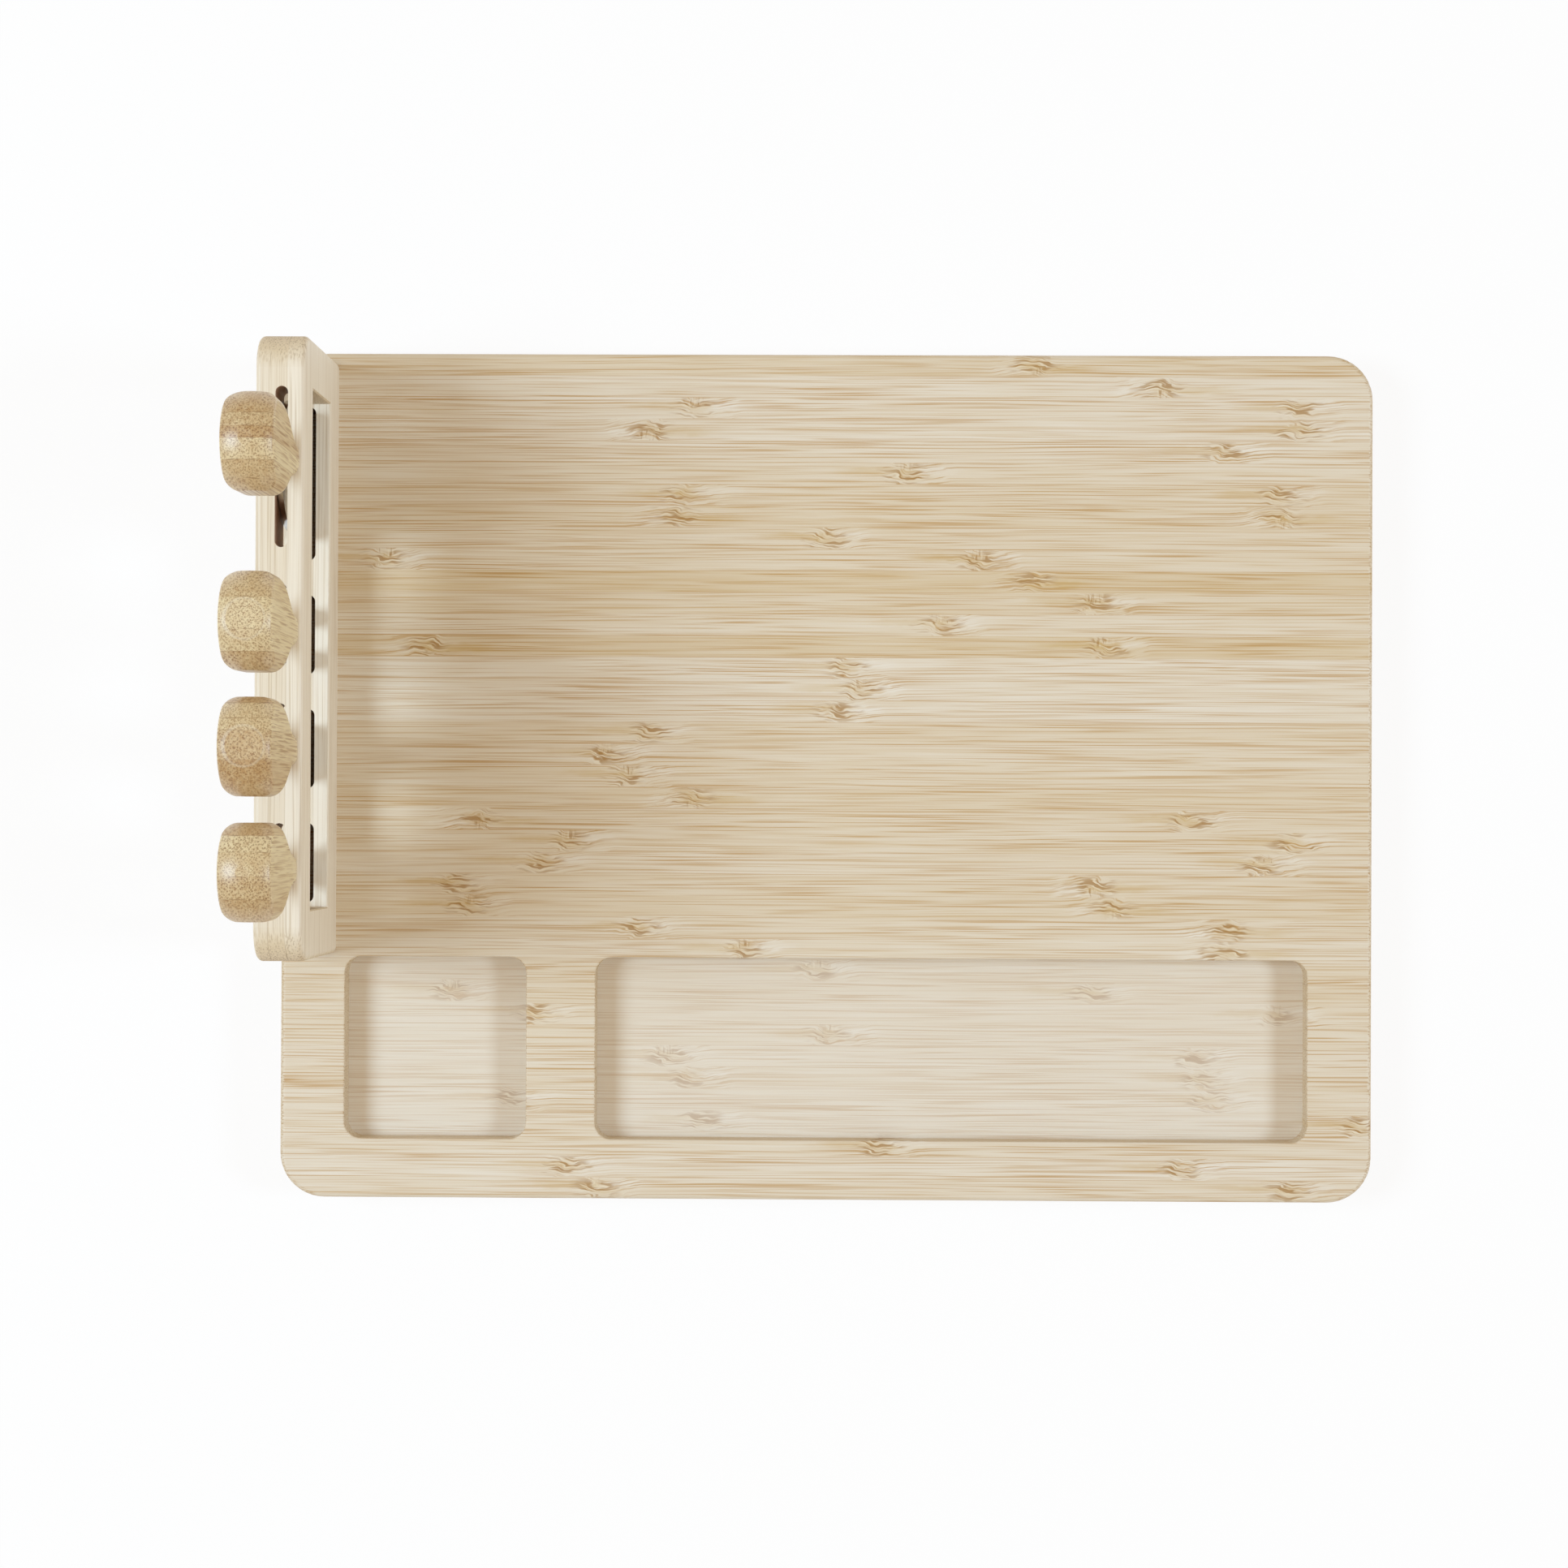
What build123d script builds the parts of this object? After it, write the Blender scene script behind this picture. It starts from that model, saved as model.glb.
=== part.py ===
from build123d import *
import os
from math import sqrt

# Bamboo cheese board with an upright knife rack and four cheese knives.
# Millimetres. The origin is under the middle of the board, +X runs along the bamboo strips
# to the right, +Y points to the far edge and +Z is up.

# Board: one slab of glued bamboo strips
board_length = 330.0
board_width = 256.0
board_thickness = 16.0
board_corner_radius = 13.5
board_edge_round = 1.6

# Two pockets routed into the board along its near edge
pocket_width = 55.0
pocket_depth = 9.0
pocket_corner_radius = 5.0
pocket_rim_round = 0.5
pocket_front_margin = 18.0
pocket_side_margin = 19.5
pocket_gap = 21.0
small_pocket_length = 55.0

# Knife rack: a plank on edge with a window between its two rails and its two end posts
rack_height = 65.0
rack_thickness = 14.0
rack_lower_rail_height = 16.5
rack_upper_rail_height = 15.0
rack_post_width = 14.5
rack_left_inset = 2.7
rack_far_inset = 3.1
rack_top_corner_radius = 10.0
rack_foot_chamfer = 2.0
rack_edge_round = 1.6
rack_window_chamfer = 0.4

# Slots down through both rails
slot_inward_offset = 0.5
slot_side_play = 2.1
narrow_slot_play = 5.7
wide_slot_play = 7.8
slot_land = 10.3
slot_far_land = 0.9
slot_near_land = 1.3
slot_end_clearance = 1.5
slot_side_clearance = 0.35
lower_slot_widening = 0.4
wide_knife_offset = 2.2

# Blades: sheet steel, hanging from the rack's top to just above the board
blade_thickness = 1.5
blade_tip_clearance = 5.0
blade_neck_width = 9.6
blade_bevel_height = 5.0
blade_edge_thickness = 0.4
cleaver_width = 38.0
cleaver_shoulder_drop = 21.0
cleaver_corner_radius = 6.0
narrow_blade_width = 18.0
narrow_shoulder_drop = 11.0
plane_waist_width = 14.0
fork_gap_width = 7.0
fork_gap_length = 33.0
fork_tip_width = 2.0
fork_taper_length = 12.0
spade_belly_drop = 24.0
spade_tip_radius = 1.5

# Tang of each blade, glued into its handle
tang_length = 32.0
tang_width = 5.5
tang_glue_gap = 0.1

# Handles: flat on two faces, tapering from a domed butt to a narrow neck
handle_length = 54.0
handle_butt_width = 26.9
handle_neck_width = 10.6
handle_butt_thickness = 14.9
handle_neck_thickness = 11.6
handle_belly_height = 31.0
handle_dome_radius = 14.2
small_flat_diameter = 4.0
wide_flat_diameter = 11.0
handle_edge_round = 3.8
handle_dome_round = 1.2
handle_neck_round = 0.6

# Countersunk screws from below the board into the rack's end posts
screw_diameter = 3.5
screw_core_diameter = 2.4
screw_length = 30.0
screw_head_diameter = 7.0
screw_head_height = 1.9
screw_head_rim = 0.4
screw_head_recess = 0.6
screw_thread_pitch = 1.5
screw_thread_length = 18.0
screw_tip_length = 3.0
screw_drive_span = 3.8
screw_drive_width = 0.9
screw_drive_depth = 1.2
screw_hole_clearance = 0.25
screw_pilot_clearance = 0.05

# Every cut runs this far past the face that it opens
cut_overrun = 1.0

# Places worked out from the sizes above
board_top = board_thickness
rack_top = board_top + rack_height
rack_x = -board_length / 2 + rack_left_inset + rack_thickness / 2
slot_x = rack_x + slot_inward_offset
slot_width = blade_thickness + slot_side_play
knife_x = slot_x - slot_side_play / 2 + slot_side_clearance
wide_slot_length = cleaver_width + wide_slot_play
narrow_slot_length = narrow_blade_width + narrow_slot_play
slot_lengths = [wide_slot_length] + [narrow_slot_length] * 3
slot_lands = slot_far_land + slot_land * (len(slot_lengths) - 1) + slot_near_land
window_length = sum(slot_lengths) + slot_lands
window_height = rack_height - rack_lower_rail_height - rack_upper_rail_height
rack_length = window_length + 2 * rack_post_width
rack_far_y = board_width / 2 - rack_far_inset
rack_y = rack_far_y - rack_length / 2
blade_length = rack_height - blade_tip_clearance

# Solids that grow up from the point they are placed at
STANDING = (Align.CENTER, Align.CENTER, Align.MIN)


def slot_centres():
    """Middle of each slot along Y, from the far one to the near one."""
    centres = []
    far_end = rack_far_y - rack_post_width - slot_far_land
    for length in slot_lengths:
        centres.append(far_end - length / 2)
        far_end -= length + slot_land
    return centres


def knife_places():
    """Middle of each knife along Y. The narrow knives stand at the near ends of their slots."""
    near_shift = narrow_slot_play / 2 - slot_end_clearance
    shifts = [wide_knife_offset] + [-near_shift] * 3
    return [centre + shift for centre, shift in zip(slot_centres(), shifts)]


def screw_places():
    """Middle of each screw along Y, in the middle of the rack's end posts."""
    reach = (rack_length - rack_post_width) / 2
    return [rack_y + reach, rack_y - reach]


def pocket_plan(left, length):
    """Outline of one pocket, with its left end at the given X."""
    y = -board_width / 2 + pocket_front_margin + pocket_width / 2
    return Pos(left + length / 2, y) * RectangleRounded(length, pocket_width, pocket_corner_radius)


def pocket_plans():
    """The small pocket at the left and the long one, which fills the rest of the near edge."""
    small_left = -board_length / 2 + pocket_side_margin
    long_left = small_left + small_pocket_length + pocket_gap
    long_length = board_length / 2 - pocket_side_margin - long_left
    return [pocket_plan(small_left, small_pocket_length), pocket_plan(long_left, long_length)]


def screw_hole():
    """Clearance hole and countersink for one screw, from under the board."""
    head_radius = screw_head_diameter / 2 + screw_hole_clearance
    shank_radius = screw_diameter / 2 + screw_hole_clearance
    rim_top = screw_head_recess + screw_head_rim
    mouth = Pos(0, 0, -cut_overrun) * Cylinder(head_radius, rim_top + cut_overrun, align=STANDING)
    cone = Pos(0, 0, rim_top) * Cone(head_radius, shank_radius, screw_head_height, align=STANDING)
    shank = Cylinder(shank_radius, board_thickness + cut_overrun, align=STANDING)
    return mouth + cone + shank


def make_board():
    """Rounded slab with its two pockets and the holes for the rack's screws."""
    slab = extrude(RectangleRounded(board_length, board_width, board_corner_radius), board_thickness)
    for plan in pocket_plans():
        slab -= Pos(0, 0, board_top - pocket_depth) * extrude(plan, pocket_depth + cut_overrun)
    rims = slab.faces().sort_by(Axis.Z)[-1].inner_wires()
    slab = fillet([edge for wire in rims for edge in wire.edges()], pocket_rim_round)
    top_face = slab.faces().sort_by(Axis.Z)[-1]
    under_face = slab.faces().sort_by(Axis.Z)[0]
    slab = fillet(top_face.outer_wire().edges() + under_face.outer_wire().edges(), board_edge_round)
    for y in screw_places():
        slab -= Pos(rack_x, y) * screw_hole()
    return slab


def rack_blank():
    """The plank before it is cut through: round at its top corners, its foot clipped at both ends."""
    outline = Rectangle(rack_length, rack_height)
    outline = fillet(outline.vertices().group_by(Axis.Y)[-1], rack_top_corner_radius)
    blank = extrude(Plane.YZ * outline, rack_thickness / 2, both=True)
    foot_edges = blank.faces().sort_by(Axis.Z)[0].edges()
    faces = blank.faces().sort_by(Axis.X)
    rims = faces[0].edges() + faces[-1].edges()
    foot_rims = [edge for edge in rims if edge in foot_edges]
    blank = fillet([edge for edge in rims if edge not in foot_rims], rack_edge_round)
    wedge_side = rack_foot_chamfer * sqrt(2)
    wedge = Rot(45, 0, 0) * Box(rack_thickness + cut_overrun, wedge_side, wedge_side)
    for side in (-1, 1):
        blank -= Pos(0, side * rack_length / 2, -rack_height / 2) * wedge
    return blank


def make_knife_rack():
    """Plank on edge with its window, the slots through its rails and the screws' pilot holes."""
    window_rise = (rack_lower_rail_height - rack_upper_rail_height) / 2
    window = Box(rack_thickness + cut_overrun, window_length, window_height)
    plank = rack_blank() - Pos(0, 0, window_rise) * window
    faces = plank.faces().sort_by(Axis.X)
    rims = faces[0].inner_wires() + faces[-1].inner_wires()
    plank = chamfer([edge for wire in rims for edge in wire.edges()], rack_window_chamfer)
    plank = Pos(rack_x, rack_y, board_top + rack_height / 2) * plank
    for y, length in zip(slot_centres(), slot_lengths):
        plan = Pos(slot_x, y) * Rot(0, 0, 90) * SlotOverall(length, slot_width)
        plank -= Pos(0, 0, board_top - cut_overrun) * extrude(plan, rack_height + 2 * cut_overrun)
        lower_width = slot_width + lower_slot_widening
        lower_x = slot_x + lower_slot_widening / 2
        plan = Pos(lower_x, y) * Rot(0, 0, 90) * SlotOverall(length, lower_width)
        plank -= Pos(0, 0, board_top - cut_overrun) * extrude(plan, rack_lower_rail_height + 2 * cut_overrun)
    pilot_depth = screw_length + screw_head_recess - board_thickness + screw_pilot_clearance
    pilot_radius = screw_diameter / 2 + screw_pilot_clearance
    pilot = Cylinder(pilot_radius, pilot_depth + cut_overrun, align=STANDING)
    for y in screw_places():
        plank -= Pos(rack_x, y, board_top - cut_overrun) * pilot
    return plank


def screw_profile():
    """Half section of one screw, head down: rim, cone, plain shank, thread ridges and point."""
    head = screw_head_diameter / 2
    shank = screw_diameter / 2
    core = screw_core_diameter / 2
    thread_top = screw_length - screw_tip_length
    ridges = int(screw_thread_length / screw_thread_pitch)
    thread_foot = thread_top - ridges * screw_thread_pitch
    points = [(0, 0), (head, 0), (head, screw_head_rim), (shank, screw_head_rim + screw_head_height)]
    points.append((shank, thread_foot - screw_thread_pitch))
    for ridge in range(ridges):
        root = thread_foot + ridge * screw_thread_pitch
        points += [(core, root), (shank, root + screw_thread_pitch / 2)]
    points += [(core, thread_top), (0, screw_length)]
    return make_face(Polyline(*points, close=True))


def make_rack_screws():
    """The two screws of the rack, each with a cross recess in its head."""
    blank = revolve(Plane.XZ * screw_profile(), Axis.Z)
    for span in ((screw_drive_span, screw_drive_width), (screw_drive_width, screw_drive_span)):
        recess = Box(*span, screw_drive_depth + cut_overrun, align=STANDING)
        blank -= Pos(0, 0, -cut_overrun) * recess
    return [Pos(rack_x, y, screw_head_recess) * blank for y in screw_places()]


def handle_front():
    """The handle seen square to its flat faces: an S-shaped side from the neck out to the belly."""
    neck = handle_neck_width / 2
    belly = handle_butt_width / 2
    up = (0, 1)
    lines = [
        Line((0, 0), (neck, 0)),
        Spline((neck, 0), (belly, handle_belly_height), tangents=[up, up]),
        Line((belly, handle_belly_height), (belly, handle_length)),
        Line((belly, handle_length), (0, handle_length)),
        Line((0, handle_length), (0, 0)),
    ]
    half = make_face(lines)
    return half + mirror(half, Plane.YZ)


def handle_side():
    """The handle seen from its narrow side: a slow taper from the butt to the neck."""
    neck = handle_neck_thickness / 2
    butt = handle_butt_thickness / 2
    corners = [(-neck, 0), (neck, 0), (butt, handle_length), (-butt, handle_length)]
    return make_face(Polyline(*corners, close=True))


def butt_blank(flat_diameter):
    """Round-ended bar that domes the butt and leaves a round flat on its end."""
    flat_radius = flat_diameter / 2
    centre = handle_length - sqrt(handle_dome_radius ** 2 - flat_radius ** 2)
    bar = Cylinder(handle_dome_radius, centre, align=STANDING)
    ball = Pos(0, 0, centre) * Sphere(handle_dome_radius)
    reach = 2 * handle_dome_radius
    return bar + ball - Pos(0, 0, handle_length) * Box(reach, reach, reach, align=STANDING)


def make_handle(flat_diameter):
    """One bamboo handle standing on its neck at the origin, with the pocket for its tang."""
    front = extrude(Plane.YZ * handle_front(), handle_butt_thickness / 2, both=True)
    side = extrude(Plane.XZ * handle_side(), handle_butt_width / 2, both=True)
    body = front & side
    upright = body.edges().filter_by(lambda edge: edge.bounding_box().size.Z > handle_neck_width)
    body = fillet(upright, handle_edge_round)
    body &= butt_blank(flat_diameter)
    dome = body.faces().filter_by(GeomType.SPHERE)
    flat = body.faces().sort_by(Axis.Z)[-1]
    dome_edges = [edge for edge in dome.edges() if edge not in flat.edges()]
    body = fillet(dome_edges, handle_dome_round)
    body = fillet(body.faces().sort_by(Axis.Z)[0].edges(), handle_neck_round)
    pocket_size = [size + 2 * tang_glue_gap for size in (blade_thickness, tang_width)]
    pocket = Box(*pocket_size, tang_length + cut_overrun, align=STANDING)
    return body - Pos(0, 0, -cut_overrun) * pocket


def shouldered_outline(width, drop):
    """Blade outline hanging from the origin: a narrow neck under two round shoulders."""
    neck = Pos(0, -drop / 2) * Rectangle(blade_neck_width, drop)
    below = blade_length - drop
    return neck + Pos(0, -drop) * Ellipse(width / 2, drop) + Pos(0, -drop - below / 2) * Rectangle(width, below)


def cleaver_outline():
    """Broad blade with round shoulders and two round lower corners."""
    outline = shouldered_outline(cleaver_width, cleaver_shoulder_drop)
    return fillet(outline.vertices().group_by(Axis.Y)[0], cleaver_corner_radius)


def fork_outline():
    """Narrow blade split into two prongs that taper to their tips."""
    outline = shouldered_outline(narrow_blade_width, narrow_shoulder_drop)
    gap_foot = -blade_length - cut_overrun
    gap_top = -blade_length + fork_gap_length
    crown = gap_top - fork_gap_width / 2
    gap = Pos(0, (crown + gap_foot) / 2) * Rectangle(fork_gap_width, crown - gap_foot)
    outline -= gap + Pos(0, crown) * Circle(fork_gap_width / 2)
    outer = narrow_blade_width / 2
    tip = fork_gap_width / 2 + fork_tip_width
    for side in (-1, 1):
        trim = Polyline(
            (side * outer, -blade_length + fork_taper_length),
            (side * tip, -blade_length),
            (side * tip, gap_foot),
            (side * (outer + cut_overrun), gap_foot),
            (side * (outer + cut_overrun), -blade_length + fork_taper_length),
            close=True,
        )
        outline -= make_face(trim)
    return outline


def plane_outline():
    """Narrow blade that widens from its waist to a straight cutting end."""
    waist = plane_waist_width / 2
    edge = narrow_blade_width / 2
    corners = [(-waist, 0), (waist, 0), (edge, narrow_shoulder_drop - blade_length)]
    corners += [(-edge, narrow_shoulder_drop - blade_length)]
    flare = Pos(0, -narrow_shoulder_drop) * make_face(Polyline(*corners, close=True))
    neck = Pos(0, -narrow_shoulder_drop / 2) * Rectangle(blade_neck_width, narrow_shoulder_drop)
    return neck + flare + Pos(0, -narrow_shoulder_drop) * Ellipse(waist, narrow_shoulder_drop)


def spade_outline():
    """Leaf-shaped blade with a round-nosed point."""
    belly = narrow_blade_width / 2
    neck = blade_neck_width / 2
    down = (0, -1)
    point = (-belly, spade_belly_drop - blade_length)
    half = make_face([
        Line((0, 0), (neck, 0)),
        Spline((neck, 0), (belly, -spade_belly_drop), tangents=[down, down]),
        Spline((belly, -spade_belly_drop), (0, -blade_length), tangents=[down, point]),
        Line((0, -blade_length), (0, 0)),
    ])
    outline = half + mirror(half, Plane.YZ)
    return fillet(outline.vertices().group_by(Axis.Y)[0], spade_tip_radius)


def make_blade(outline):
    """Sheet-steel blade at the origin with its tang, ground thin towards its lower end."""
    sheet = extrude(Plane.YZ * outline, blade_thickness / 2, both=True)
    tang = Box(blade_thickness, tang_width, tang_length, align=STANDING)
    edge = blade_edge_thickness / 2
    face = blade_thickness / 2
    bevel_top = blade_bevel_height - blade_length
    for side in (-1, 1):
        corners = [(side * face, bevel_top), (side * edge, -blade_length)]
        corners += [(side * edge, -blade_length - cut_overrun), (side * 2 * face, -blade_length - cut_overrun)]
        corners += [(side * 2 * face, bevel_top)]
        sheet -= extrude(Plane.XZ * make_face(Polyline(*corners, close=True)), cleaver_width, both=True)
    return sheet + tang


def make_knives():
    """Handle and blade of each knife, standing in its slot near the left wall."""
    knives = {
        "cleaver": (cleaver_outline(), small_flat_diameter),
        "fork": (fork_outline(), wide_flat_diameter),
        "plane": (plane_outline(), wide_flat_diameter),
        "spade": (spade_outline(), small_flat_diameter),
    }
    parts = {}
    for (name, (outline, flat_diameter)), y in zip(knives.items(), knife_places()):
        place = Pos(knife_x, y, rack_top)
        parts[name + "_handle"] = place * make_handle(flat_diameter)
        parts[name + "_blade"] = place * make_blade(outline)
    return parts


def make_parts():
    """Every node of the cheese board by name."""
    parts = {"board": make_board(), "knife_rack": make_knife_rack()}
    parts["rack_screws"] = Compound(make_rack_screws())
    parts.update(make_knives())
    return parts


def main():
    """Write one STEP file for each node."""
    os.makedirs("parts", exist_ok=True)
    for name, shape in make_parts().items():
        shape.label = name
        export_step(shape, "parts/" + name + ".step")
        print(name, round(shape.volume, 1))


main()
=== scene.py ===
"""Bamboo cheese board with a knife rack: the looks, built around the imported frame.

Lengths in the dataclasses are millimetres, as a maker would write them, and every mesh is metres.
"""

import logging
import math
from collections.abc import Callable
from dataclasses import dataclass
from enum import Enum

import bmesh
import bpy
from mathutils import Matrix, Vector


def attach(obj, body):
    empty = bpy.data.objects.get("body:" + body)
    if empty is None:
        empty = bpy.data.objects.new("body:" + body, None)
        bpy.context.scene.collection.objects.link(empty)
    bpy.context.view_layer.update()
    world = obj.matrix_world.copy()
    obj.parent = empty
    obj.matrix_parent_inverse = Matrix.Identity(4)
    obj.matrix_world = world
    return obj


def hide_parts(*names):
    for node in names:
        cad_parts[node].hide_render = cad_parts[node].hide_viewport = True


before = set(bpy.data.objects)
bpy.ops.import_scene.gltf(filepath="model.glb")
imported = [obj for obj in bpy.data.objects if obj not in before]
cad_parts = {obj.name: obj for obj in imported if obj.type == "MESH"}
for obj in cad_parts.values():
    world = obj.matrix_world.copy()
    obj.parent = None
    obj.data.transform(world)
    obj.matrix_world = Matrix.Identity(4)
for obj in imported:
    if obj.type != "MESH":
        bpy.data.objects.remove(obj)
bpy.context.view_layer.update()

LOG = logging.getLogger("cheese_board")
MM = 0.001

# A place in millimetres that no part of the object is near
FAR = 9999.0

# The middle of a noise pattern's range, for one noise and for three
HALF = 0.5
HALVES = (HALF, HALF, HALF)

# A face whose normal's Z is greater than this lies nearly level
LEVEL = 0.5

# How close two vertices are to be one, and a vertex to a plane to lie on it, in metres
TOUCHING = 1e-6
ON_PLANE = 1e-7

# The node types that recur, and the places of a Mix node's two colours and of the mixed one
ATTRIBUTE = "ShaderNodeAttribute"
COMBINE = "ShaderNodeCombineXYZ"
MATH = "ShaderNodeMath"
MIX = "ShaderNodeMix"
NOISE = "ShaderNodeTexNoise"
RANGE = "ShaderNodeMapRange"
SEPARATE = "ShaderNodeSeparateXYZ"
VECTOR = "ShaderNodeVectorMath"
COLOUR_A, COLOUR_B, MIXED = 6, 7, 2

Colour = tuple[float, float, float, float]
Numbers = tuple[float, ...]
Pair = tuple[float, float]
Triple = tuple[float, float, float]
Socket = bpy.types.NodeSocket
Tree = bpy.types.NodeTree


class Axis(Enum):
    """An axis of the frame, by its place in a vector."""

    X = 0
    Y = 1
    Z = 2


class Blade(Enum):
    """The four knives, by the shape of their blades."""

    CLEAVER = "cleaver"
    FORK = "fork"
    PLANE = "plane"
    SPADE = "spade"


def linear(code: str) -> Colour:
    """Turns an sRGB hex colour into the linear one that shaders take.

    Args:
        code: The colour as "#RRGGBB".

    Returns:
        Linear red, green and blue, and an alpha of 1.
    """
    parts = [int(code[i : i + 2], 16) / 255 for i in (1, 3, 5)]
    return (*(v / 12.92 if v <= 0.04045 else ((v + 0.055) / 1.055) ** 2.4 for v in parts), 1.0)


def add(tree: Tree, kind: str, inputs: dict[int | str, object] | None = None, **settings: object) -> Socket:
    """Adds a node with its settings, values and links.

    Args:
        tree: The node tree that gets it.
        kind: The node's type, such as "ShaderNodeMath".
        inputs: What each input socket gets, by its name or index: a value, or the socket it is linked from.
        settings: The node's own properties, by name.

    Returns:
        The node's first output, or its first input where it has no output.
    """
    node = tree.nodes.new(kind)
    for name, value in settings.items():
        setattr(node, name, value)
    for key, value in (inputs or {}).items():
        if isinstance(value, Socket):
            tree.links.new(value, node.inputs[key])
        else:
            node.inputs[key].default_value = value
    return node.outputs[0] if len(node.outputs) else node.inputs[0]


def between(edge: Pair) -> dict[str, float]:
    """Returns where a value starts to count and where it counts in full, as Map Range's inputs."""
    return {"From Min": edge[0], "From Max": edge[1]}


def mottle(tree: Tree, place: Socket, rate: Numbers, detail: float) -> Socket:
    """Draws cloudy noise that is stretched along the axes, as the marks in wood and ground metal are.

    Args:
        tree: The material's tree.
        place: Where the surface lies.
        rate: How many clouds there are to one unit of the place, along each axis.
        detail: How many finer layers it has.

    Returns:
        The noise, about 0.5. The Color output of its node has three such noises.
    """
    scaled = add(tree, VECTOR, {0: place, 1: rate}, operation="MULTIPLY")
    return add(tree, NOISE, {"Vector": scaled, "Scale": 1.0, "Detail": detail})


def oval(tree: Tree, away: Socket, reach: Pair, core: float, most: float = 1.0) -> Socket:
    """Draws a soft-edged oval.

    Args:
        tree: The material's tree.
        away: How far the surface lies from the oval's middle, in X and Y.
        reach: How far the oval reaches in X and Y.
        core: The share of that reach inside which it is full.
        most: Its value there.

    Returns:
        The oval's value, which falls to 0 at its edge.
    """
    spread = add(tree, VECTOR, {0: away, 1: (1 / reach[0], 1 / reach[1], 0.0)}, operation="MULTIPLY")
    spread = add(tree, VECTOR, {0: spread}, operation="LENGTH").node.outputs["Value"]
    limits = {"Value": spread, "From Min": 1.0, "From Max": core, "To Max": most}
    return add(tree, RANGE, limits, interpolation_type="SMOOTHSTEP")


def new_material(name: str) -> tuple[bpy.types.Material, Tree]:
    """Makes an empty material.

    Args:
        name: The material's name.

    Returns:
        The material and its emptied node tree.
    """
    material = bpy.data.materials.new(name)
    material.use_nodes = True
    material.node_tree.nodes.clear()
    return material, material.node_tree


def new_object(name: str, data: bpy.types.ID) -> bpy.types.Object:
    """Adds an object to the scene.

    Args:
        name: The object's name.
        data: Its mesh, lamp or camera.

    Returns:
        The object, at the origin.
    """
    thing = bpy.data.objects.new(name, data)
    bpy.context.scene.collection.objects.link(thing)
    return thing


@dataclass(frozen=True)
class Stroke:
    """One kind of the short strokes in a knuckle: its colour, where it shows, and how much and how high."""

    colour: str
    shift: float
    ticks: Pair
    most: float
    height: float


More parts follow.
